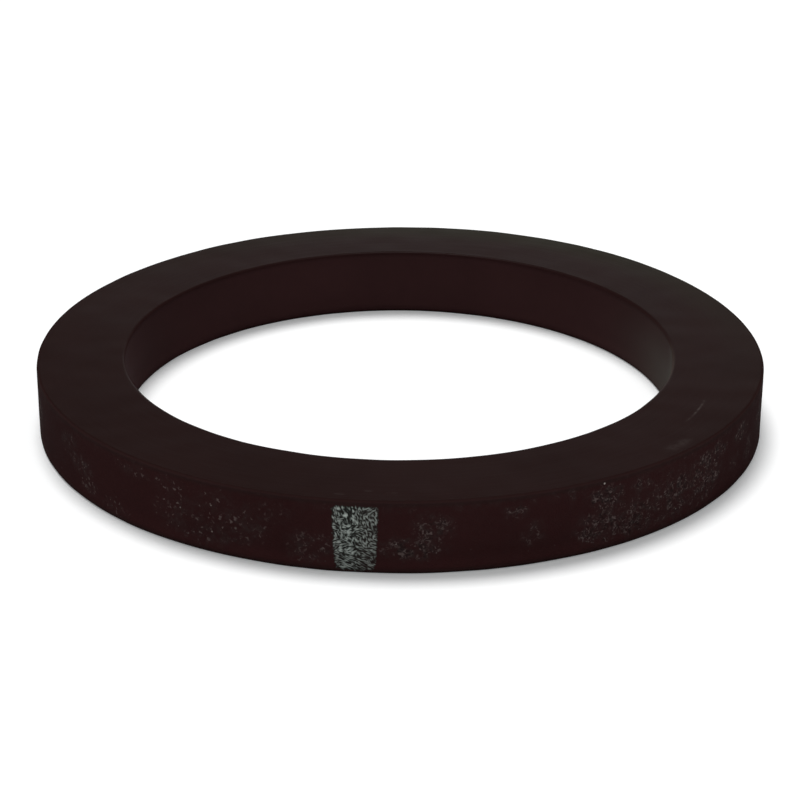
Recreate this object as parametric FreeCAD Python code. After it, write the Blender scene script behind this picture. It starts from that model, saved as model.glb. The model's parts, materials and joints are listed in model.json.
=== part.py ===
import FreeCAD, Part

import math
import os

# Flat rubber sealing ring for a two-inch lever-arm hose coupling, in millimetres.
# It is one solid, cut from a rubber tube: a rectangular section with softened edges,
# turned once round the axis of the bore.
# The origin is the centre of the face that the ring lies on, and +Z is its axis.

# Driving dimensions
BORE_DIAMETER = 50.8
SECTION_WIDTH = 7.9375
THICKNESS = 6.35
BORE_EDGE_RADIUS = 0.25
RIM_EDGE_RADIUS = 0.25

# Radii that follow from them
BORE_RADIUS = BORE_DIAMETER / 2
RIM_RADIUS = BORE_RADIUS + SECTION_WIDTH

RING_AXIS = FreeCAD.Vector(0, 0, 1)
ORIGIN = FreeCAD.Vector(0, 0, 0)


def section_point(radius, height):
    """A point of the section, which is drawn in the XZ plane."""
    return FreeCAD.Vector(radius, 0, height)


def softened_corner(radius, height, edge_radius, away, up):
    """The quarter arc at one corner of the section, from its upright side to its level side.

    away is 1 where the rubber ends at the rim and -1 where it ends at the bore.
    up is 1 at the upper face and -1 at the lower one.
    """
    centre_radius = radius - away * edge_radius
    centre_height = height - up * edge_radius
    reach = edge_radius * math.cos(math.radians(45))
    return Part.Arc(
        section_point(radius, centre_height),
        section_point(centre_radius + away * reach, centre_height + up * reach),
        section_point(centre_radius, height),
    ).toShape()


def ring_section():
    """The face that is turned into the ring: two level sides, two upright sides and four arcs."""
    lower_bore = softened_corner(BORE_RADIUS, 0, BORE_EDGE_RADIUS, -1, -1)
    upper_bore = softened_corner(BORE_RADIUS, THICKNESS, BORE_EDGE_RADIUS, -1, 1)
    lower_rim = softened_corner(RIM_RADIUS, 0, RIM_EDGE_RADIUS, 1, -1)
    upper_rim = softened_corner(RIM_RADIUS, THICKNESS, RIM_EDGE_RADIUS, 1, 1)

    flat_start = BORE_RADIUS + BORE_EDGE_RADIUS
    flat_end = RIM_RADIUS - RIM_EDGE_RADIUS
    lower_side = Part.makeLine(section_point(flat_start, 0), section_point(flat_end, 0))
    upper_side = Part.makeLine(
        section_point(flat_start, THICKNESS), section_point(flat_end, THICKNESS)
    )
    bore_side = Part.makeLine(
        section_point(BORE_RADIUS, BORE_EDGE_RADIUS),
        section_point(BORE_RADIUS, THICKNESS - BORE_EDGE_RADIUS),
    )
    rim_side = Part.makeLine(
        section_point(RIM_RADIUS, RIM_EDGE_RADIUS),
        section_point(RIM_RADIUS, THICKNESS - RIM_EDGE_RADIUS),
    )
    edges = [
        lower_side, lower_rim, rim_side, upper_rim,
        upper_side, upper_bore, bore_side, lower_bore,
    ]
    return Part.Face(Part.Wire(Part.__sortEdges__(edges)))


def gasket_ring():
    """The whole ring as one solid of revolution."""
    turned = ring_section().revolve(ORIGIN, RING_AXIS, 360)
    ring = Part.Solid(turned.Shells[0])
    if ring.Volume < 0:
        ring.reverse()
    return ring


os.makedirs("parts", exist_ok=True)
gasket_ring().exportStep("parts/gasket_ring.step")
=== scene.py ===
import json
import math

import bpy
import numpy as np
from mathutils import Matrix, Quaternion, Vector, noise


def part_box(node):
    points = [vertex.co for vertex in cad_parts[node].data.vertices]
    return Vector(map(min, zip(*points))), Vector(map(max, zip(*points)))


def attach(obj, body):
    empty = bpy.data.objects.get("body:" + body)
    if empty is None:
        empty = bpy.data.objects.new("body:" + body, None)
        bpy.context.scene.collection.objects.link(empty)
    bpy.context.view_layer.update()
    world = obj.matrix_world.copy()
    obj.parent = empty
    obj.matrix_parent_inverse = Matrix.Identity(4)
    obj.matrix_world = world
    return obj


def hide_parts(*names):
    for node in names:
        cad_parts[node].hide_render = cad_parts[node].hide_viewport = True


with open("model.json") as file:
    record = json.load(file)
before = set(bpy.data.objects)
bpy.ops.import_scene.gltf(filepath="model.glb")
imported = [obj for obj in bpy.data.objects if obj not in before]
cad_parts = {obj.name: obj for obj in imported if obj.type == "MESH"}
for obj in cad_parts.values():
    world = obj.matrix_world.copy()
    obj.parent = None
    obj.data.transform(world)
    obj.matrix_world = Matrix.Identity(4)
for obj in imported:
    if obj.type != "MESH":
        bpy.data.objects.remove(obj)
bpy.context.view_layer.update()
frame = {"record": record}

# The looks of a flat rubber sealing ring, in metres. It lies on z = 0, round the Z axis, with its
# front towards -Y. It is a slice of a rubber tube. The outer wall keeps the grain of the cloth that
# the tube was cured in, and its ridges hold dust and one brushed stripe of paint. The two faces were
# cut with a knife on a lathe, and the bore is smooth from the mandrel.
#
# Angles are in degrees from the front, and grow towards +X. What is named radians starts at +X.
# Heights on the walls are shares of the ring's thickness. Where its comment says nothing else, a pair
# of numbers is where a smooth change begins and where it is complete.

MM = 0.001
SEED = 7

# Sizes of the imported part
MOUNT_SIZES = {mount["name"]: mount["dims"] for mount in frame["record"]["mounts"]}
BORE_RADIUS = MOUNT_SIZES["bore"]["r_mm"] * MM
RIM_RADIUS = MOUNT_SIZES["rim"]["r_mm"] * MM
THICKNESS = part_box("gasket_ring")[1].z
EDGE_RADIUS = (THICKNESS - MOUNT_SIZES["rim"]["length_mm"] * MM) / 2

# How this soft ring departs from the nominal one, as measured on the photograph
EXTRA_THICKNESS = 0.10 * MM
BORE_SHRINK = 0.20 * MM
THREE_LOBES = -0.112 * MM
BORE_SHIFT = Vector((-0.107 * MM, 0.090 * MM))
BULGE_ANGLE = 148.0
BULGE_REACH = 30.0
BULGE_OUT = 0.12 * MM
BULGE_UP = 0.06 * MM

# Points of the mesh: round the ring, and along each run of its section
POINTS_ROUND = 1200
FACE_POINTS = 13
WALL_POINTS = 26
BORE_POINTS = 13
CORNER_POINTS = 4

# Unevenness that is large enough for the mesh, as height and wavelength
CURE_SWELL = (0.020 * MM, 2.6 * MM)
HAND_SWELL = (0.030 * MM, 11.0 * MM)

# Paint stripe on the outer wall: its middle, half width and taper, the heights between which it lies,
# and how softly its outline fades. The outline is squarer at the top than at the bottom.
STRIPE_MIDDLE = -6.2
STRIPE_HALF_WIDTH = 3.10
STRIPE_TAPER = 0.55
STRIPE_BOTTOM = 0.03
STRIPE_TOP = 0.93
STRIPE_FADE = 0.15
STRIPE_SQUARENESS_LOW = 7
STRIPE_SQUARENESS_HIGH = 12

# Dusty patches that the photograph shows on the outer wall.
# Each is the angle and the height of its middle, its reach in both, and how dusty it is.
DUST_PATCHES = [
    (-58.5, 0.70, 3.0, 0.22, 0.60),
    (-54.5, 0.48, 3.4, 0.14, 0.95),
    (-52.5, 0.24, 2.4, 0.14, 0.80),
    (-46.0, 0.14, 3.4, 0.14, 0.85),
    (-41.5, 0.84, 3.6, 0.12, 0.75),
    (-34.5, 0.80, 3.0, 0.14, 0.90),
    (-32.5, 0.42, 4.8, 0.30, 0.95),
    (-27.0, 0.68, 4.0, 0.26, 0.65),
    (-27.0, 0.26, 4.8, 0.20, 0.90),
    (-22.5, 0.50, 4.2, 0.28, 0.88),
    (-18.5, 0.74, 4.0, 0.16, 0.40),
    (-12.5, 0.30, 3.8, 0.26, 0.75),
    (1.8, 0.36, 4.8, 0.17, 0.95),
    (4.7, 0.64, 3.2, 0.22, 0.75),
    (16.5, 0.78, 2.0, 0.14, 0.65),
    (19.0, 0.46, 2.0, 0.20, 0.45),
    (24.5, 0.88, 1.2, 0.12, 0.45),
    (42.0, 0.44, 16.0, 0.44, 0.42),
    (30.5, 0.76, 3.2, 0.18, 0.95),
    (36.5, 0.78, 2.4, 0.14, 0.60),
    (30.0, 0.34, 4.6, 0.26, 0.80),
    (36.0, 0.31, 4.4, 0.25, 0.85),
    (43.5, 0.46, 3.6, 0.32, 0.85),
    (51.0, 0.50, 4.6, 0.36, 0.80),
    (54.5, 0.74, 3.0, 0.14, 0.80),
    (62.5, 0.74, 3.4, 0.15, 0.72),
    (60.5, 0.38, 2.2, 0.14, 0.40),
    (66.5, 0.36, 2.4, 0.22, 0.45),
]

# Dusty patches of the hidden back: how many, and between what limits each is drawn
HIDDEN_PATCH_COUNT = 42
HIDDEN_ANGLES = (74.0, 290.0)
HIDDEN_HEIGHTS = (0.2, 0.8)
HIDDEN_ANGLE_REACHES = (3.0, 7.0)
HIDDEN_HEIGHT_REACHES = (0.12, 0.34)
HIDDEN_STRENGTHS = (0.45, 0.85)

# Thin dust between the patches, with more of it towards the upper edge
THIN_DUST = 0.08
THIN_DUST_AT_TOP = 0.15
THIN_DUST_RISE = (0.80, 0.92)

# How much of the dust lies as loose crumbs: nearly all of it on the left side, as far as the stripe
CRUMBLY_LEFT = 0.85
CRUMBLY_ELSEWHERE = 0.20
CRUMBLY_MIDDLE = -38.0
CRUMBLY_REACH = 30.0

# Single grains of grit on the outer wall: angle, height and radius in metres, and how bright
GRIT = [
    (30.0, 6.12 * MM, 0.12 * MM, 1.00),
    (-53.2, 3.35 * MM, 0.16 * MM, 0.22),
    (-46.9, 1.35 * MM, 0.10 * MM, 0.30),
    (-23.6, 2.75 * MM, 0.17 * MM, 0.18),
    (4.4, 2.95 * MM, 0.09 * MM, 0.24),
    (7.5, 2.35 * MM, 0.10 * MM, 0.28),
]
GRIT_FULL_SHARE = 0.3

# Scratches on the upper face, each part of a circle, in millimetres: the circle's centre, the
# scratch's middle, its reach along and across, and how bright it is
FACE_SCRATCHES = [
    ((8.50, -6.80), (25.90, -14.65), 3.2, 0.16, 0.080),
    ((0.0, 0.0), (23.48, -21.89), 2.2, 0.80, 0.030),
    ((0.0, 0.0), (-4.83, -31.73), 0.6, 0.10, 0.060),
    ((0.0, 0.0), (-2.51, -31.15), 0.5, 0.10, 0.060),
    ((0.0, 0.0), (-0.60, -31.49), 0.6, 0.10, 0.050),
]

# Painted sheen in the bore, pale, on the right: its middle and its reach, how much of it is left at the
# upper edge, and the narrow stretch where it is fullest
BORE_SHEEN_MIDDLE = 96.0
BORE_SHEEN_REACH = 17.0
BORE_SHEEN_AT_TOP = 0.45
BORE_SHEEN_THINS = (0.45, 0.95)
BORE_SHEEN_PEAK_MIDDLE = 88.0
BORE_SHEEN_PEAK_REACH = 4.0
BORE_SHEEN_PEAK = 0.75
BORE_SHEEN_SHARE = 0.55

# Faint olive tint, lighter than the face, on the upper face towards its outer edge, at the back
OLIVE_RIM_MIDDLE = 160.0
OLIVE_RIM_REACH = 50.0
OLIVE_RIM_RADII = (28.5 * MM, 33.0 * MM)

# Painted highlight on a stretch of the bore's upper edge: its middle, its reach and how much of the tan
# colour it shows
EDGE_HIGHLIGHT_MIDDLE = 77.0
EDGE_HIGHLIGHT_REACH = 9.0
EDGE_HIGHLIGHT_STRENGTH = 0.42

# How full the paint stripe is: at the least, how much more in its middle, and how much more from the
# bottom to the top
PAINT_LOAD_MIDDLE = -7.2
PAINT_LOAD_REACH = 1.8
PAINT_LOAD_LEAST = 0.70
PAINT_LOAD_MIDST = 0.40
PAINT_LOAD_RISE = 0.14

# Painted light and shade: where the rubber's colour is painted lighter or darker, as shares of it, for
# how light falls. It is painted lighter at the foot of both walls, against the shade there, and on the
# outer wall less so towards the sides. It is painted darker on the outer wall at both sides, with a
# painted shadow in a line where the ring rests, and with painted shade on the left of the bore.
FOOT_HEIGHT = 0.30
FOOT_LIGHTER_WALL = 0.72
FOOT_LIGHTER_SIDES = 0.20
FOOT_LIGHTER_BORE = 0.30
FOOT_SIDES = (15.0, 60.0)
DARKER_SIDES = (48.0, 72.0)
SIDES_DARKER = 0.26
CONTACT_HEIGHT = 0.05
CONTACT_DARKER = 0.55
BORE_DARK_MIDDLE = 246.0
BORE_DARK_REACH = 20.0
BORE_DARKER = 0.20

# Camera, fitted to the outlines in the photograph
CAMERA_ELEVATION = 22.87
CAMERA_DISTANCE = 0.21751
CAMERA_AIM_LOWERED = 0.537
CAMERA_ROLL = 0.21
FOCAL_LENGTH = 104.98
CLIP_NEAR = 0.01
CLIP_FAR = 10.0

# Light: a high soft lamp, a dim room with a paler ceiling, and a glow low behind the ring, with their
# azimuths from the back towards +X. Only the camera sees the floor's lift.
LAMP_ELEVATION = 74.5
LAMP_AZIMUTH = -17.9
LAMP_SPREAD = 22.0
LAMP_STRENGTH = 2.20
ROOM_BRIGHTNESS = 0.06
CEILING_BRIGHTNESS = 0.46
CEILING_ELEVATIONS = (28.0, 50.0)
GLOW_BRIGHTNESS = 0.80
GLOW_AZIMUTH = 3.0
GLOW_ELEVATION = 3.0
GLOW_REACH = 23.0
FLOOR_HALF_SIZE = 2.0
FLOOR_COLOUR = (0.90, 0.90, 0.90, 1.0)
FLOOR_LIFT = 0.185
FLOOR_LIFT_TINT = (0.97, 1.0, 1.01, 1.0)
WHITE = (1.0, 1.0, 1.0, 1.0)

# Colours of the rubber and what lies on it
WALL_BLACK = (0.0306, 0.0106, 0.0108, 1.0)
FACE_BLACK = (0.0123, 0.0037, 0.0032, 1.0)
# Painted sheen on the outer wall's rounded edges
EDGE_SHEEN_GREY = (0.0275, 0.0130, 0.0126, 1.0)
BORE_BLACK = (0.0390, 0.0163, 0.0167, 1.0)
DUST_GREY = (0.1180, 0.0880, 0.0840, 1.0)
DUST_FILM = (0.0460, 0.0470, 0.0440, 1.0)
# Painted shade in the grain's pits, darker than the bare rubber
PIT_SHADE_BLACK = (0.0130, 0.0066, 0.0066, 1.0)
FLECK_GREY = (0.4200, 0.3800, 0.3500, 1.0)
# Pale colour of the painted sheen in the bore
SHEEN_GREY = (0.0740, 0.0700, 0.0590, 1.0)
# Tan of the painted highlight on the bore's upper edge
HIGHLIGHT_TAN = (0.1200, 0.1000, 0.0800, 1.0)
# Olive tint, lighter than the face, on the upper face's outer edge
RIM_OLIVE = (0.0145, 0.0118, 0.0060, 1.0)
PAINT_GREEN = (0.5400, 0.6050, 0.5620, 1.0)
PAINT_FILM = (0.0240, 0.0300, 0.0270, 1.0)

# How rough the moulded wall, the cut faces and the bore are, where the bore's own roughness sets in,
# how much the roughness varies, and how much the rubber shines
WALL_ROUGHNESS = 1.00
FACE_ROUGHNESS = 0.34
BORE_ROUGHNESS = 0.75
BORE_ROUGHNESS_RISE = (0.0, 0.5)
ROUGHNESS_VARIES = 0.15
SHINE = 0.025

# How far the look of a wall runs round its edges, on to the face and down the wall
EDGE_BLEND_ON_FACE = 0.28 * MM
EDGE_BLEND_ON_WALL = 0.60 * MM

# How far from the rim's edges the polish of the knife begins to fade, and where it is gone, both on
# the face
POLISH_FADES_FROM = 0.30 * MM
POLISH_GONE_AT = 0.06 * MM

# What brings share * (1 - share) to 1 halfway between two surfaces, for the look of the edge there: its
# painted sheen, and the painted highlight on the bore's upper edge
EDGE_PEAK = 4

# Noise all over the ring: slow clouds and a fine grain. The clouds make the rubber lighter and darker.
CLOUDS = {"per_metre": 0.12 / MM, "detail": 4.0, "roughness": 0.6}
FINE_GRAIN = {"per_metre": 7.0 / MM, "detail": 2.0, "roughness": 0.6}
CLOUD_SHADE_LEAST = 0.80
CLOUD_SHADE_RANGE = 0.40

# Ridges of the cloth grain, in cells per metre across and along each, and how far each kind leans
# round the ring for each unit of height. Upright ones take over from falling ones in places, and
# more so towards the top, and rising ones take over from both in others.
RIDGES_ACROSS = 6.8 / MM
RIDGES_ALONG = 3.3 / MM
RIDGE_SHAPE = {"detail": 0.6, "warp": 0.25}
FALLING_LEAN = 1.5
UPRIGHT_LEAN = 0.25
RISING_LEAN = -1.1
UPRIGHT_PLACES = {"per_metre": 1.2 / MM, "detail": 0.0}
UPRIGHT_MORE_WITH_HEIGHT = 0.06 / MM
UPRIGHT_RISE = (0.44, 0.56)
RISING_PLACES = {"per_metre": 0.8 / MM, "detail": 0.0}
RISING_RISE = (0.56, 0.62)

# Knife marks: how many cross each metre of the face, and how many follow each other in a radian
MARKS_ACROSS = 1.6 / MM
MARKS_ROUND = 3.5
MARK_SHAPE = {"per_metre": 1.0, "detail": 3.5, "roughness": 0.6}

# How high the relief of the grain, of the fine grain and of the knife marks is
GRAIN_RELIEF = 0.035 * MM
FINE_RELIEF = 0.004 * MM
MARK_RELIEF = 0.010 * MM

# Where the scratches break off along their run, and the share of their length at full strength
SCRATCH_BREAKS = {"per_metre": 1.6 / MM, "detail": 2.0}
SCRATCH_BREAKS_RISE = (0.25, 0.58)
SCRATCH_FULL_SHARE = 0.3

# Dust that clings to the grain. It lies in clumps, and follows a worm-like noise: its tops are where
# that noise rises past a line, which is lower in thick dust. Its pits, where the noise falls away, get
# painted shade, darker than the bare rubber. A film with blotches lies under them.
CLUMPS = {"per_metre": 1.3 / MM, "detail": 2.0}
CLUMPS_RISE = (0.38, 0.60)
CLUMPED_LEAST = 0.40
CLUMPED_RANGE = 0.75
WORMS = {"per_metre": 2.9 / MM, "detail": 0.7, "warp": 1.4}
TOPS_LINE = 0.61
TOPS_LINE_LOWERED = 0.12
TOPS_LINE_WIDTH = 0.20
TOPS_HOLD = (0.05, 0.50)
TOPS_STRENGTH = 0.78
DUST_PIT_SHADE_FALL = (0.48, 0.36)
DUST_PIT_SHADE_COVER = (0.30, 0.60)
DUST_PIT_SHADE_STRENGTH = 0.60
BLOTCHES = {"per_metre": 1.8 / MM, "detail": 1.0, "warp": 0.8}
BLOTCHES_RISE = (0.40, 0.62)
FILM_FROM_CLINGING = 0.8
FILM_FROM_ALL = 0.2
FILM_LEAST = 0.20
FILM_RANGE = 0.30

# Loose crumbs of dust, one in each cell: what bends their outline and how far, their reach in cells,
# the share of it at full strength, how their brightness is spread, and how they follow the dust
CRUMB_BEND = {"per_metre": 3.0 / MM, "detail": 1.0}
CRUMB_BEND_REACH = 0.65 * MM
CRUMB_CELLS = 2.1 / MM
CRUMB_LEAST_REACH = 0.20
CRUMB_REACH_RANGE = 0.28
CRUMB_FULL_SHARE = 0.3
CRUMB_BRIGHTNESS_RISE = (0.10, 1.0)
CRUMBS_IN_DUST = (0.05, 0.75)
CRUMBS_LOAD = 1.2

# Scattered grit, one dot in some of the cells: its outline in cells, the chance of a dot, how it
# follows the dust, and how bright it is
GRIT_CELLS = 0.85 / MM
GRIT_OUTLINE = (0.085, 0.040)
GRIT_CHANCE = (0.62, 0.70)
GRIT_LOAD = 1.2
GRIT_STRENGTH = 0.38

# Brushed paint: how much the grain and the fine grain fray its sides, where its film and its tops end
# at the sides, which parts of the grain are tops and which are pits with painted shade, and how patchy
# it is
FRAYED_BY_GRAIN = 1.2
FRAYED_BY_FINE_GRAIN = 0.5
PAINT_FILM_RISE = (0.25, 0.70)
PAINT_TOPS_RISE = (0.45, 1.05)
PAINT_FILM_STRENGTH = 0.80
PAINT_TOPS = (0.40, 0.76)
PAINT_PIT_SHADE = (0.42, 0.28)
PAINT_PIT_SHADE_STRENGTH = 0.60
PAINT_PATCHES = {"per_metre": 3.0 / MM, "detail": 2.0}
PAINT_PATCHES_LEAST = 0.40
PAINT_PATCHES_RANGE = 0.88
PAINT_STRENGTH = 0.86


class Graph:
    """Adds nodes to a material or a world. An input is a number, a colour or another node's output."""

    def __init__(self, tree):
        self.tree = tree
        tree.nodes.clear()

    def add(self, kind, inputs=None, **settings):
        node = self.tree.nodes.new(kind)
        for name, value in settings.items():
            setattr(node, name, value)
        for name, value in (inputs or {}).items():
            if isinstance(value, bpy.types.NodeSocket):
                self.tree.links.new(value, node.inputs[name])
            else:
                node.inputs[name].default_value = value
        return node

    def math(self, operation, first, second=0.0, clamp=False):
        node = self.add("ShaderNodeMath", {0: first, 1: second}, operation=operation, use_clamp=clamp)
        return node.outputs[0]

    def times(self, first, second):
        return self.math("MULTIPLY", first, second)

    def plus(self, first, second):
        return self.math("ADD", first, second)

    def minus(self, first, second):
        return self.math("SUBTRACT", first, second)

    def xyz(self, place):
        """The three parts of a place."""
        return self.add("ShaderNodeSeparateXYZ", {0: place}).outputs

    def distance(self, place, point):
        node = self.add("ShaderNodeVectorMath", {0: place, 1: point}, operation="DISTANCE")
        return node.outputs["Value"]

    def soft_step(self, value, start, end):
        """0 up to start, 1 from end on, and smooth between them."""
        inputs = {"Value": value, "From Min": start, "From Max": end}
        return self.add("ShaderNodeMapRange", inputs, interpolation_type="SMOOTHSTEP").outputs["Result"]

    def mix(self, share, low, high):
        """low at share 0 and high at share 1, both numbers."""
        node = self.add("ShaderNodeMix", {0: share, 2: low, 3: high}, data_type="FLOAT")
        return node.outputs[0]

    def mix_colours(self, share, low, high):
        node = self.add("ShaderNodeMix", {0: share, 6: low, 7: high}, data_type="RGBA")
        return node.outputs[2]

    def noise_node(self, place, per_metre, detail=1.0, roughness=0.5, warp=0.0):
        """Noise with this many cells in a metre."""
        return self.add("ShaderNodeTexNoise", {
            "Vector": place,
            "Scale": per_metre,
            "Detail": detail,
            "Roughness": roughness,
            "Distortion": warp,
        })

    def noise(self, place, **shape):
        """The noise as a number from 0 to 1."""
        return self.noise_node(place, **shape).outputs["Fac"]

    def stretched(self, place, along_z):
        """The place with its height scaled, so that noise at it comes out longer or shorter along Z."""
        return self.add("ShaderNodeMapping", {"Vector": place, "Scale": (1.0, 1.0, along_z)}).outputs[0]

    def painted(self, name):
        """A value that the mesh holds at its points."""
        return self.add("ShaderNodeAttribute", attribute_name=name).outputs["Fac"]


def even_ends(count):
    """Shares from 0 up to but not 1, closer together near both ends."""
    return (1 - np.cos(np.pi * np.arange(count) / count)) / 2


def straight_run(start, end, normal, count):
    """Rows of radius, height and outward normal along one straight side of the section."""
    share = even_ends(count)[:, None]
    places = np.array(start) + share * (np.array(end) - np.array(start))
    return np.hstack((places, np.tile(normal, (count, 1))))


def rounded_corner(centre, first_angle, count):
    """Rows of radius, height and outward normal round one quarter circle."""
    radians = np.radians(first_angle + 90 * np.arange(count) / count)
    normals = np.column_stack((np.cos(radians), np.sin(radians)))
    return np.hstack((np.array(centre) + EDGE_RADIUS * normals, normals))


def ring_section():
    """The closed section, anticlockwise from the bore's end of the lower face."""
    inside = BORE_RADIUS - BORE_SHRINK
    outside = RIM_RADIUS
    top = THICKNESS + EXTRA_THICKNESS
    near, far = inside + EDGE_RADIUS, outside - EDGE_RADIUS
    low, high = EDGE_RADIUS, top - EDGE_RADIUS
    return np.vstack((
        straight_run((near, 0), (far, 0), (0, -1), FACE_POINTS),
        rounded_corner((far, low), -90, CORNER_POINTS),
        straight_run((outside, low), (outside, high), (1, 0), WALL_POINTS),
        rounded_corner((far, high), 0, CORNER_POINTS),
        straight_run((far, top), (near, top), (0, 1), FACE_POINTS),
        rounded_corner((near, high), 90, CORNER_POINTS),
        straight_run((inside, high), (inside, low), (-1, 0), BORE_POINTS),
        rounded_corner((near, low), 180, CORNER_POINTS),
    ))


def out_of_round(radians, depth):
    """How far each point lies from the true circle. depth is 0 at the bore and 1 at the rim."""
    lobes = THREE_LOBES * np.sin(3 * radians)
    bore_shift = BORE_SHIFT.x * np.cos(radians) + BORE_SHIFT.y * np.sin(radians)
    return lobes + (1 - depth) * bore_shift + depth * BULGE_OUT * bulge(radians)


def bulge(radians):
    """1 in the middle of the stretch where the ring is a little fuller, fading to 0 on both sides."""
    return fading(degrees_from_front(radians), BULGE_ANGLE, BULGE_REACH)


def unevenness(places):
    """How far the rubber swells out at each point."""
    swell = np.zeros(len(places))
    for height, wavelength in (CURE_SWELL, HAND_SWELL):
        swell += [height * noise.noise(Vector(place) / wavelength) for place in places]
    return swell


def turn_from(angles, middle):
    """How far each angle lies from the middle one, from -180 to 180 degrees."""
    return (angles - middle + 180) % 360 - 180


def degrees_from_front(radians):
    return turn_from(np.degrees(radians), -90)


def hidden_patches():
    """Dusty patches like the photographed ones, scattered round the back."""
    random = np.random.default_rng(SEED)
    patches = []
    for _ in range(HIDDEN_PATCH_COUNT):
        middle = random.uniform(*HIDDEN_ANGLES)
        patches.append((
            middle if middle < 180 else middle - 360,
            random.uniform(*HIDDEN_HEIGHTS),
            random.uniform(*HIDDEN_ANGLE_REACHES),
            random.uniform(*HIDDEN_HEIGHT_REACHES),
            random.uniform(*HIDDEN_STRENGTHS),
        ))
    return patches


def dust_density(angles, heights):
    """How dusty the outer wall is, from 0 to 1."""
    density = THIN_DUST + THIN_DUST_AT_TOP * smooth_rise(heights, *THIN_DUST_RISE)
    for middle, level, angle_reach, height_reach, strength in DUST_PATCHES + hidden_patches():
        along = turn_from(angles, middle) / angle_reach
        up = (heights - level) / height_reach
        density = np.maximum(density, strength * np.exp(-np.hypot(along, up) ** 4))
    return density


def crumbly_share(angles):
    """How much of the dust lies as loose crumbs, from 0 to 1."""
    left = fading(angles, CRUMBLY_MIDDLE, CRUMBLY_REACH)
    return CRUMBLY_ELSEWHERE + (CRUMBLY_LEFT - CRUMBLY_ELSEWHERE) * left


def fading(angles, middle, reach):
    """1 at the middle angle, fading to 0 on both sides."""
    return np.exp(-(turn_from(angles, middle) / reach) ** 2)


def smooth_rise(values, start, end):
    """0 up to start, 1 from end on, and smooth between them."""
    share = np.clip((values - start) / (end - start), 0, 1)
    return share ** 2 * (3 - 2 * share)


def painted_bore_sheen(angles, heights):
    """How much pale painted sheen lies on the bore."""
    left_above = 1 - (1 - BORE_SHEEN_AT_TOP) * smooth_rise(heights, *BORE_SHEEN_THINS)
    wide = fading(angles, BORE_SHEEN_MIDDLE, BORE_SHEEN_REACH) * left_above
    return wide + BORE_SHEEN_PEAK * fading(angles, BORE_SHEEN_PEAK_MIDDLE, BORE_SHEEN_PEAK_REACH)


def painted_light_and_shade(angles, heights, wall, bore):
    """Painted light and shade: how light the rubber is painted, as a share of its usual colour."""
    foot = 1 - smooth_rise(heights, 0, FOOT_HEIGHT)
    sideways = smooth_rise(np.abs(angles), *FOOT_SIDES)
    lighter_wall = FOOT_LIGHTER_WALL + (FOOT_LIGHTER_SIDES - FOOT_LIGHTER_WALL) * sideways
    lighter = foot * (lighter_wall * wall + FOOT_LIGHTER_BORE * bore)
    sides = SIDES_DARKER * wall * smooth_rise(np.abs(angles), *DARKER_SIDES)
    left = BORE_DARKER * bore * fading(angles, BORE_DARK_MIDDLE, BORE_DARK_REACH)
    contact = CONTACT_DARKER * wall * (1 - smooth_rise(heights, 0, CONTACT_HEIGHT))
    return (1 + lighter - sides - left) * (1 - contact)


def painted_edge_highlight(section, radians):
    """How strong the bore's painted edge highlight is, from 0 to 1, one turn of the section after
    another.
    """
    share = wall_share(section, BORE_RADIUS - BORE_SHRINK)
    upper = section[:, 1] > THICKNESS / 2
    along = fading(degrees_from_front(radians), EDGE_HIGHLIGHT_MIDDLE, EDGE_HIGHLIGHT_REACH)
    return np.outer(along, EDGE_PEAK * share * (1 - share) * upper).ravel()


def olive_rim_tint(section, radians):
    """How much olive tint lies on the upper face, one turn of the section after another."""
    outwards = smooth_rise(section[:, 0], *OLIVE_RIM_RADII) * (section[:, 1] > THICKNESS / 2)
    return np.outer(fading(degrees_from_front(radians), OLIVE_RIM_MIDDLE, OLIVE_RIM_REACH), outwards).ravel()


def paint_load(angles, heights):
    """How thickly the paint lies, as a share of its usual cover."""
    middle = fading(angles, PAINT_LOAD_MIDDLE, PAINT_LOAD_REACH)
    return PAINT_LOAD_LEAST + PAINT_LOAD_MIDST * middle + PAINT_LOAD_RISE * (heights - 0.5)


def stripe_cover(angles, heights):
    """How well the paint stripe covers a point, from 0 to 1."""
    half_width = STRIPE_HALF_WIDTH + STRIPE_TAPER * (heights - 0.5)
    across = np.abs(angles - STRIPE_MIDDLE) / half_width
    along = np.abs(2 * heights - STRIPE_TOP - STRIPE_BOTTOM) / (STRIPE_TOP - STRIPE_BOTTOM)
    squareness = STRIPE_SQUARENESS_LOW + (STRIPE_SQUARENESS_HIGH - STRIPE_SQUARENESS_LOW) * heights
    from_middle = (across ** squareness + along ** squareness) ** (1 / squareness)
    return np.clip((1 - from_middle) / STRIPE_FADE + 0.5, 0, 1)


def past_edge(section, wall_radius):
    """How far each point of the section lies past the edge, down the upright side at this radius."""
    radius, height = section[:, 0], section[:, 1]
    below_edge = np.minimum(height, THICKNESS + EXTRA_THICKNESS - height)
    return below_edge - np.abs(radius - wall_radius)


def wall_share(section, wall_radius):
    """1 on the upright side at this radius, 0 on the faces, and smooth round the edges between them."""
    return smooth_rise(past_edge(section, wall_radius), -EDGE_BLEND_ON_FACE, EDGE_BLEND_ON_WALL)


def store(mesh, name, values):
    """Keeps one value for each point of the mesh, for its material."""
    attribute = mesh.attributes.new(name, "FLOAT", "POINT")
    attribute.data.foreach_set("value", np.asarray(values, np.float32))


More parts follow.
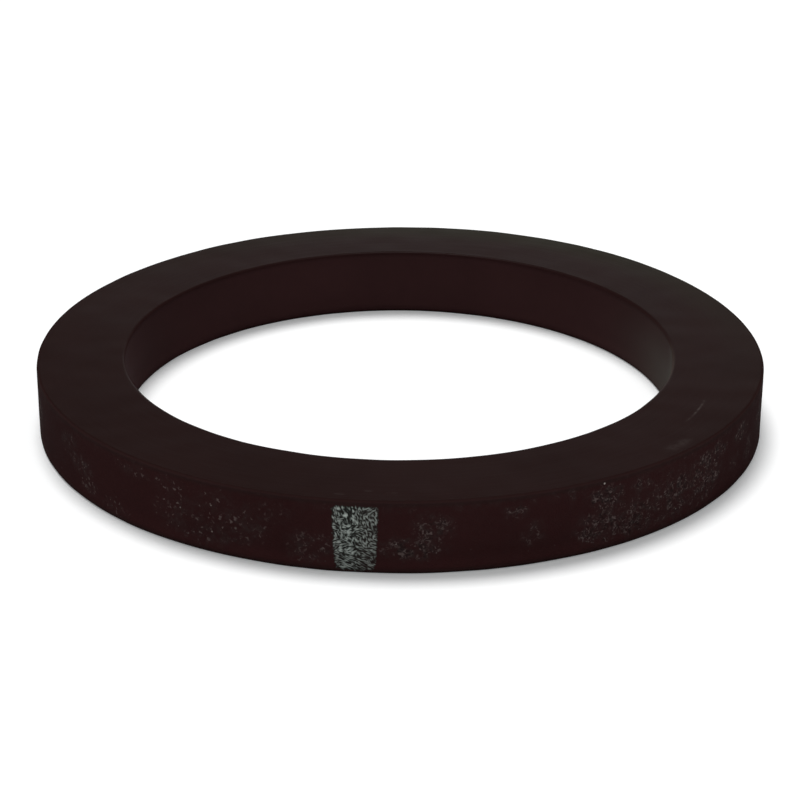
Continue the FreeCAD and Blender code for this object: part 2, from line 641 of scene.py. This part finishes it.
def ring_points(section, radians):
    """Every point of the ring, with its unevenness, one turn of the section after another."""
    radius, height, out, up = (column[None, :] for column in section.T)
    turn = radians[:, None]
    depth = (radius - BORE_RADIUS) / (RIM_RADIUS - BORE_RADIUS)
    radius = radius + out_of_round(turn, depth)
    height = height * (1 + BULGE_UP / THICKNESS * bulge(turn))
    plain = np.stack((radius * np.cos(turn), radius * np.sin(turn), height), axis=-1).reshape(-1, 3)
    swell = unevenness(plain).reshape(radius.shape)
    radius = radius + out * swell
    height = np.maximum(height + up * swell, 0)
    return np.stack((radius * np.cos(turn), radius * np.sin(turn), height), axis=-1).reshape(-1, 3)


def ring_quads(turns, rows):
    """The four corners of every face between one turn of the section and the next."""
    turn, row = np.meshgrid(np.arange(turns), np.arange(rows), indexing="ij")
    next_turn, next_row = (turn + 1) % turns, (row + 1) % rows
    corners = [(turn, row), (next_turn, row), (next_turn, next_row), (turn, next_row)]
    return np.stack([at_turn * rows + at_row for at_turn, at_row in corners], axis=-1).reshape(-1, 4)


def make_ring():
    """The ring, which holds at each point of its mesh what its material needs to know there."""
    section = ring_section()
    radians = 2 * np.pi * np.arange(POINTS_ROUND) / POINTS_ROUND
    points = ring_points(section, radians)

    mesh = bpy.data.meshes.new("gasket_ring_skin")
    mesh.from_pydata(points.tolist(), [], ring_quads(POINTS_ROUND, len(section)).tolist())
    mesh.shade_smooth()

    from_front = np.repeat(degrees_from_front(radians), len(section))
    height_share = points[:, 2] / (THICKNESS + EXTRA_THICKNESS)
    wall = np.tile(wall_share(section, RIM_RADIUS), POINTS_ROUND)
    bore = np.tile(wall_share(section, BORE_RADIUS - BORE_SHRINK), POINTS_ROUND)
    polish_gone = smooth_rise(past_edge(section, RIM_RADIUS), -POLISH_FADES_FROM, -POLISH_GONE_AT)
    store(mesh, "outer_wall", wall)
    store(mesh, "bore_wall", bore)
    store(mesh, "polish_gone", np.tile(polish_gone, POINTS_ROUND))
    # Painted light and shade: lighter at the feet of the walls, darker at the outer wall's sides and on
    # the bore's left, and a painted shadow where the ring rests
    store(mesh, "shade", painted_light_and_shade(from_front, height_share, wall, bore))
    # Painted sheen, pale, on the bore's right
    store(mesh, "painted_sheen", bore * painted_bore_sheen(from_front, height_share))
    store(mesh, "dust", wall * dust_density(from_front, height_share))
    store(mesh, "crumbly", crumbly_share(from_front))
    store(mesh, "stripe", wall * stripe_cover(from_front, height_share))
    store(mesh, "paint_load", paint_load(from_front, height_share))
    # Painted highlight on a stretch of the bore's upper edge
    store(mesh, "painted_highlight", painted_edge_highlight(section, radians))
    # Olive tint, lighter than the face, at the back of the upper face's outer edge
    store(mesh, "olive_rim", (1 - wall) * olive_rim_tint(section, radians))

    ring = bpy.data.objects.new("gasket_ring_skin", mesh)
    bpy.context.scene.collection.objects.link(ring)
    return ring


def ridges(graph, place, lean):
    """Noise drawn out into short ridges that lean this far round the ring for each unit of height."""
    twist = graph.times(graph.xyz(place)[2], lean / RIM_RADIUS)
    turn = {"Vector": place, "Angle": twist}
    turned = graph.add("ShaderNodeVectorRotate", turn, rotation_type="Z_AXIS").outputs[0]
    slant = math.hypot(1, lean)
    per_metre = RIDGES_ACROSS / slant
    along_z = RIDGES_ALONG * slant / per_metre
    return graph.noise(graph.stretched(turned, along_z), per_metre=per_metre, **RIDGE_SHAPE)


def cloth_grain(graph, place):
    """Height of the worm-like ridges that the curing cloth pressed into the outer wall, from 0 to 1."""
    falling = ridges(graph, place, FALLING_LEAN)
    upright = ridges(graph, place, UPRIGHT_LEAN)
    rising = ridges(graph, place, RISING_LEAN)
    above_middle = graph.minus(graph.xyz(place)[2], THICKNESS / 2)
    lift = graph.times(above_middle, UPRIGHT_MORE_WITH_HEIGHT)
    drift = graph.plus(graph.noise(place, **UPRIGHT_PLACES), lift)
    leaning = graph.mix(graph.soft_step(drift, *UPRIGHT_RISE), falling, upright)
    other = graph.soft_step(graph.noise(place, **RISING_PLACES), *RISING_RISE)
    return graph.mix(other, leaning, rising)


def knife_marks(graph, place):
    """Faint concentric marks on the cut faces, from 0 to 1. Each runs some way round the ring."""
    x, y, _ = graph.xyz(place)
    radius = graph.math("SQRT", graph.plus(graph.times(x, x), graph.times(y, y)))
    lane = graph.add("ShaderNodeCombineXYZ", {
        0: graph.times(radius, MARKS_ACROSS),
        1: graph.times(graph.math("DIVIDE", x, radius), MARKS_ROUND),
        2: graph.times(graph.math("DIVIDE", y, radius), MARKS_ROUND),
    }).outputs[0]
    return graph.noise(lane, **MARK_SHAPE)


def face_scratches(graph, flat):
    """How bright the scratches are. flat is the place with its height left out."""
    total = 0.0
    for centre, middle, along, across, strength in FACE_SCRATCHES:
        centre = Vector((*centre, 0)) * MM
        middle = Vector((*middle, 0)) * MM
        from_centre = graph.distance(flat, centre)
        off_line = graph.math("ABSOLUTE", graph.minus(from_centre, (middle - centre).length))
        line = graph.soft_step(off_line, across * MM, 0.0)
        along_line = graph.distance(flat, middle)
        ends = graph.soft_step(along_line, along * MM, along * MM * SCRATCH_FULL_SHARE)
        total = graph.plus(total, graph.times(graph.times(line, ends), strength))
    return total


def scattered_grit(graph, place):
    """1 in small scattered dots of grit, 0 elsewhere."""
    cells = graph.add("ShaderNodeTexVoronoi", {"Vector": place, "Scale": GRIT_CELLS}).outputs
    dot = graph.soft_step(cells["Distance"], *GRIT_OUTLINE)
    chance = graph.add("ShaderNodeSeparateColor", {0: cells["Color"]}).outputs[0]
    return graph.times(dot, graph.soft_step(chance, *GRIT_CHANCE))


def scattered_crumbs(graph, place):
    """How bright the loose crumbs of dust are, each a little ragged and of its own size, from 0 to 1."""
    ragged = graph.noise_node(place, **CRUMB_BEND).outputs["Color"]
    shift = graph.add("ShaderNodeVectorMath", {0: ragged, 3: CRUMB_BEND_REACH}, operation="SCALE")
    bent = graph.add("ShaderNodeVectorMath", {0: place, 1: shift.outputs[0]}, operation="ADD")
    cells = graph.add("ShaderNodeTexVoronoi", {"Vector": bent.outputs[0], "Scale": CRUMB_CELLS}).outputs
    size, chance, _ = graph.add("ShaderNodeSeparateColor", {0: cells["Color"]}).outputs
    reach = graph.plus(CRUMB_LEAST_REACH, graph.times(size, CRUMB_REACH_RANGE))
    dot = graph.soft_step(cells["Distance"], reach, graph.times(reach, CRUMB_FULL_SHARE))
    return graph.times(dot, graph.soft_step(chance, *CRUMB_BRIGHTNESS_RISE))


def single_grit(graph, place):
    """How bright the single grains of grit are, which stand where the photograph shows them."""
    total = 0.0
    for angle, height, size, strength in GRIT:
        turn = math.radians(angle)
        grain = (RIM_RADIUS * math.sin(turn), -RIM_RADIUS * math.cos(turn), height)
        dot = graph.soft_step(graph.distance(place, grain), size, size * GRIT_FULL_SHARE)
        total = graph.plus(total, graph.times(dot, strength))
    return total


def with_clinging_dust(graph, colour, place, clumped, clinging):
    """The colour under the film and tops of the clinging dust, and painted shade in the grain's pits.

    clumped is how much dust of any kind lies there, and clinging how much of it clings.
    """
    worms = graph.noise(place, **WORMS)
    blotches = graph.soft_step(graph.noise(place, **BLOTCHES), *BLOTCHES_RISE)
    film = graph.plus(graph.times(clinging, FILM_FROM_CLINGING), graph.times(clumped, FILM_FROM_ALL))
    film = graph.times(film, graph.plus(FILM_LEAST, graph.times(blotches, FILM_RANGE)))
    line = graph.minus(TOPS_LINE, graph.times(clinging, TOPS_LINE_LOWERED))
    tops = graph.soft_step(worms, line, graph.plus(line, TOPS_LINE_WIDTH))
    tops = graph.times(tops, graph.soft_step(clinging, *TOPS_HOLD))
    # Painted shade in the grain's pits
    pit_shade = graph.times(graph.soft_step(clinging, *DUST_PIT_SHADE_COVER), DUST_PIT_SHADE_STRENGTH)
    pit_shade = graph.times(graph.soft_step(worms, *DUST_PIT_SHADE_FALL), pit_shade)
    colour = graph.mix_colours(film, colour, DUST_FILM)
    colour = graph.mix_colours(graph.times(tops, TOPS_STRENGTH), colour, DUST_GREY)
    return graph.mix_colours(pit_shade, colour, PIT_SHADE_BLACK)


def with_dust(graph, colour, place):
    """The colour under the wall's dust: what clings to the grain, loose crumbs, and grit."""
    dust = graph.painted("dust")
    crumbly = graph.painted("crumbly")
    clumps = graph.soft_step(graph.noise(place, **CLUMPS), *CLUMPS_RISE)
    clumped = graph.times(dust, graph.plus(CLUMPED_LEAST, graph.times(clumps, CLUMPED_RANGE)))
    clinging = graph.times(clumped, graph.minus(1.0, crumbly))
    colour = with_clinging_dust(graph, colour, place, clumped, clinging)
    crumbs = graph.times(scattered_crumbs(graph, place), graph.soft_step(dust, *CRUMBS_IN_DUST))
    crumbs = graph.times(crumbs, graph.math("MULTIPLY", crumbly, CRUMBS_LOAD, clamp=True))
    colour = graph.mix_colours(crumbs, colour, DUST_GREY)
    held = graph.math("MULTIPLY", dust, GRIT_LOAD, clamp=True)
    grit = graph.times(graph.times(scattered_grit(graph, place), held), GRIT_STRENGTH)
    grit = graph.math("ADD", grit, single_grit(graph, place), clamp=True)
    return graph.mix_colours(grit, colour, FLECK_GREY)


def with_paint(graph, colour, place, grain, fine):
    """The colour under brushed paint, thick on ridges and only a film in the pits, with painted shade.

    The sides of the stripe are ragged, and its thick paint ends before its film does.
    """
    frayed = graph.times(graph.minus(grain, 0.5), FRAYED_BY_GRAIN)
    ragged = graph.plus(graph.painted("stripe"), frayed)
    ragged = graph.plus(ragged, graph.times(graph.minus(fine, 0.5), FRAYED_BY_FINE_GRAIN))
    inside = graph.soft_step(ragged, *PAINT_FILM_RISE)
    load = graph.painted("paint_load")
    film = graph.math("MULTIPLY", graph.times(inside, load), PAINT_FILM_STRENGTH, clamp=True)
    # Painted shade in the grain's pits under the paint
    pit_shade = graph.times(graph.soft_step(grain, *PAINT_PIT_SHADE), graph.times(inside, PAINT_PIT_SHADE_STRENGTH))
    patches = graph.times(graph.noise(place, **PAINT_PATCHES), PAINT_PATCHES_RANGE)
    patchy = graph.times(graph.plus(PAINT_PATCHES_LEAST, patches), load)
    tops = graph.times(graph.soft_step(grain, *PAINT_TOPS), graph.soft_step(ragged, *PAINT_TOPS_RISE))
    cover = graph.math("MULTIPLY", tops, graph.times(patchy, PAINT_STRENGTH), clamp=True)
    colour = graph.mix_colours(film, colour, PAINT_FILM)
    colour = graph.mix_colours(pit_shade, colour, PIT_SHADE_BLACK)
    return graph.mix_colours(cover, colour, PAINT_GREEN)


def bare_rubber(graph, wall, bore, clouds):
    """The rubber's colour on faces, walls and edge, with clouds, painted sheen and painted light and
    shade.
    """
    colour = graph.mix_colours(wall, FACE_BLACK, WALL_BLACK)
    colour = graph.mix_colours(bore, colour, BORE_BLACK)
    # Painted sheen on the rounded edges between the faces and the outer wall
    edge = graph.times(graph.times(wall, graph.minus(1.0, wall)), EDGE_PEAK)
    colour = graph.mix_colours(edge, colour, EDGE_SHEEN_GREY)
    # The olive tint at the back of the upper face
    colour = graph.mix_colours(graph.painted("olive_rim"), colour, RIM_OLIVE)
    shade = graph.plus(CLOUD_SHADE_LEAST, graph.times(clouds, CLOUD_SHADE_RANGE))
    # The painted light and shade that the mesh holds
    shade = graph.times(shade, graph.painted("shade"))
    return graph.add("ShaderNodeVectorMath", {0: colour, 3: shade}, operation="SCALE").outputs[0]


def with_scratches(graph, colour, place, face):
    """The colour under the scratches of the upper face, each broken up along its run."""
    x, y, height = graph.xyz(place)
    flat = graph.add("ShaderNodeCombineXYZ", {0: x, 1: y}).outputs[0]
    upper = graph.soft_step(height, THICKNESS / 2, THICKNESS)
    broken = graph.soft_step(graph.noise(place, **SCRATCH_BREAKS), *SCRATCH_BREAKS_RISE)
    scratched = graph.times(graph.times(face_scratches(graph, flat), broken), graph.times(face, upper))
    return graph.mix_colours(scratched, colour, FLECK_GREY)


def with_painted_sheen_and_highlight(graph, colour):
    """The colour under the bore's pale painted sheen and a stretch of painted highlight on its upper
    edge.
    """
    painted_sheen = graph.times(graph.painted("painted_sheen"), BORE_SHEEN_SHARE)
    colour = graph.mix_colours(painted_sheen, colour, SHEEN_GREY)
    edge_highlight = graph.times(graph.painted("painted_highlight"), EDGE_HIGHLIGHT_STRENGTH)
    return graph.mix_colours(edge_highlight, colour, HIGHLIGHT_TAN)


def rubber_roughness(graph, bore, clouds):
    """How rough the faces are, then the wall and the edges next to it, and the bore."""
    roughness = graph.mix(graph.painted("polish_gone"), FACE_ROUGHNESS, WALL_ROUGHNESS)
    roughness = graph.mix(graph.soft_step(bore, *BORE_ROUGHNESS_RISE), roughness, BORE_ROUGHNESS)
    return graph.plus(roughness, graph.times(graph.minus(clouds, 0.5), ROUGHNESS_VARIES))


def rubber_relief(graph, place, grain, fine, wall, face):
    """The normal: the grain on the wall, the knife marks on the faces, and the fine grain on both."""
    relief = graph.times(graph.times(grain, wall), GRAIN_RELIEF)
    relief = graph.plus(relief, graph.times(fine, FINE_RELIEF))
    marks = graph.times(knife_marks(graph, place), face)
    relief = graph.plus(relief, graph.times(marks, MARK_RELIEF))
    bump = graph.add("ShaderNodeBump", {"Height": relief, "Strength": 1.0, "Distance": 1.0})
    return bump.outputs[0]


def rubber_material():
    """Black rubber, and on it scratches, painted sheen, a painted highlight, dust and paint in this
    order.
    """
    material = bpy.data.materials.new("black_rubber")
    material.use_nodes = True
    graph = Graph(material.node_tree)
    place = graph.add("ShaderNodeTexCoord").outputs["Object"]

    wall = graph.painted("outer_wall")
    bore = graph.painted("bore_wall")
    face = graph.math("SUBTRACT", graph.minus(1.0, wall), bore, clamp=True)
    grain = cloth_grain(graph, place)
    fine = graph.noise(place, **FINE_GRAIN)
    clouds = graph.noise(place, **CLOUDS)

    colour = bare_rubber(graph, wall, bore, clouds)
    colour = with_scratches(graph, colour, place, face)
    # Painted sheen and a painted highlight in the bore
    colour = with_painted_sheen_and_highlight(graph, colour)
    colour = with_dust(graph, colour, place)
    colour = with_paint(graph, colour, place, grain, fine)

    skin = graph.add("ShaderNodeBsdfPrincipled", {
        "Base Color": colour,
        "Roughness": rubber_roughness(graph, bore, clouds),
        "Normal": rubber_relief(graph, place, grain, fine, wall, face),
        "Specular IOR Level": SHINE,
    })
    graph.add("ShaderNodeOutputMaterial", {"Surface": skin.outputs[0]})
    return material


def floor_material():
    """Pale floor, white to the camera where no shadow falls. It keeps the ring's shadow."""
    material = bpy.data.materials.new("pale_floor")
    material.use_nodes = True
    graph = Graph(material.node_tree)
    seen = graph.add("ShaderNodeLightPath").outputs["Is Camera Ray"]
    strength = graph.times(seen, FLOOR_LIFT)
    matt = graph.add("ShaderNodeBsdfDiffuse", {"Color": FLOOR_COLOUR})
    lift = graph.add("ShaderNodeEmission", {"Color": FLOOR_LIFT_TINT, "Strength": strength})
    both = graph.add("ShaderNodeAddShader", {0: matt.outputs[0], 1: lift.outputs[0]})
    graph.add("ShaderNodeOutputMaterial", {"Surface": both.outputs[0]})
    return material


def make_floor():
    reach = FLOOR_HALF_SIZE
    corners = [(-reach, -reach, 0), (reach, -reach, 0), (reach, reach, 0), (-reach, reach, 0)]
    mesh = bpy.data.meshes.new("floor")
    mesh.from_pydata(corners, [], [(0, 1, 2, 3)])
    mesh.materials.append(floor_material())
    floor = bpy.data.objects.new("floor", mesh)
    bpy.context.scene.collection.objects.link(floor)


def make_room_light():
    """A dim room with a paler ceiling and a low glow behind the ring. The camera sees it as white."""
    world = bpy.data.worlds.new("room")
    world.use_nodes = True
    graph = Graph(world.node_tree)
    seen = graph.add("ShaderNodeLightPath").outputs["Is Camera Ray"]
    toward = graph.add("ShaderNodeTexCoord").outputs["Generated"]
    glow_middle = tuple(direction(GLOW_AZIMUTH, GLOW_ELEVATION))
    nearness = graph.add("ShaderNodeVectorMath", {0: toward, 1: glow_middle}, operation="DOT_PRODUCT")
    glow = graph.soft_step(nearness.outputs["Value"], math.cos(math.radians(GLOW_REACH)), 1.0)
    ceiling_heights = [math.sin(math.radians(elevation)) for elevation in CEILING_ELEVATIONS]
    ceiling = graph.soft_step(graph.xyz(toward)[2], *ceiling_heights)
    dim = graph.plus(ROOM_BRIGHTNESS, graph.times(glow, GLOW_BRIGHTNESS))
    dim = graph.plus(dim, graph.times(ceiling, CEILING_BRIGHTNESS))
    brightness = graph.mix(seen, dim, 1.0)
    room = graph.add("ShaderNodeBackground", {"Color": WHITE, "Strength": brightness})
    graph.add("ShaderNodeOutputWorld", {"Surface": room.outputs[0]})
    bpy.context.scene.world = world


def direction(azimuth, elevation):
    """Unit vector at this azimuth, from +Y towards +X, and this elevation, both in degrees."""
    turn, rise = math.radians(azimuth), math.radians(elevation)
    return Vector((math.sin(turn) * math.cos(rise), math.cos(turn) * math.cos(rise), math.sin(rise)))


def make_lamp():
    """One wide soft lamp, high above and a little behind the ring, to the left."""
    lamp = bpy.data.lights.new("soft_lamp", "SUN")
    lamp.energy = LAMP_STRENGTH
    lamp.angle = math.radians(LAMP_SPREAD)
    holder = bpy.data.objects.new("soft_lamp", lamp)
    holder.rotation_mode = "QUATERNION"
    holder.rotation_quaternion = direction(LAMP_AZIMUTH, LAMP_ELEVATION).to_track_quat("Z", "Y")
    bpy.context.scene.collection.objects.link(holder)


def make_camera():
    """The photograph's camera, which looks at the ring's middle and then a little lower, and rolls."""
    camera = bpy.data.cameras.new("camera")
    camera.lens = FOCAL_LENGTH
    camera.clip_start = CLIP_NEAR
    camera.clip_end = CLIP_FAR
    holder = bpy.data.objects.new("camera", camera)
    back = direction(180, CAMERA_ELEVATION)
    middle = Vector((0, 0, THICKNESS / 2))
    holder.location = middle + back * CAMERA_DISTANCE
    aim = (-back).to_track_quat("-Z", "Y")
    lowered = Quaternion((1, 0, 0), -math.radians(CAMERA_AIM_LOWERED))
    rolled = Quaternion((0, 0, 1), math.radians(CAMERA_ROLL))
    holder.rotation_mode = "QUATERNION"
    holder.rotation_quaternion = aim @ lowered @ rolled
    bpy.context.scene.collection.objects.link(holder)
    bpy.context.scene.camera = holder


bpy.context.scene.view_settings.view_transform = "Standard"
gasket = make_ring()
gasket.data.materials.append(rubber_material())
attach(gasket, "root")
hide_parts("gasket_ring")
make_floor()
make_room_light()
make_lamp()
make_camera()
